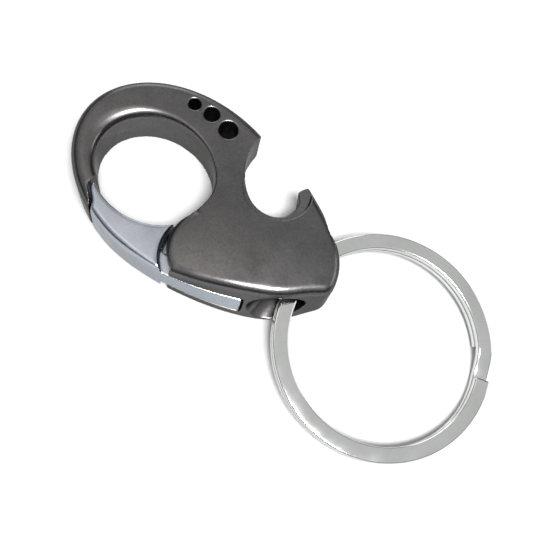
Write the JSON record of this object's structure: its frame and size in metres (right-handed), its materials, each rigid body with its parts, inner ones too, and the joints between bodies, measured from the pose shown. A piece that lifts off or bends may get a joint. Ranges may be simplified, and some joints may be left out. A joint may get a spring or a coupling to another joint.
{
  "type": "keychain bottle opener",
  "caption": "Pocket bottle opener cast as a gated loop with an opener notch, a hinged spring gate and a swinging split ring for keys.",
  "frame": {"origin": "on the flat back face, under the thick tail of the body and level with the middle of the loop's opening", "axes": "+X from the loop towards the split ring, +Y towards the opener notch, +Z out of the front face"},
  "size_m": [0.0756, 0.035, 0.0095],
  "materials": {
    "casting": "satin",
    "gate_metal": "satin",
    "steel": "satin",
    "ring_steel": "polished"
  },
  "bodies": {
    "body": {"body": "casting", "hinge_pin": "steel", "torsion_spring": "steel"},
    "gate": {"gate": "gate_metal"},
    "ring": {"split_ring": "ring_steel"}
  },
  "joints": [
    {"name": "gate_hinge", "type": "hinge", "parent": "body", "child": "gate", "pos_m": [-0.0068, -0.0058, 0.00385], "axis": [0, 0, -1], "range_deg": [0, 25], "stiffness_Nm_per_rad": 0.05, "springref_deg": -17.19},
    {"name": "ring_swing", "type": "hinge", "parent": "body", "child": "ring", "pos_m": [0.007, 0.0003, 0.0044], "axis": [0, -1, 0], "range_deg": [-70, 90]}
  ]
}
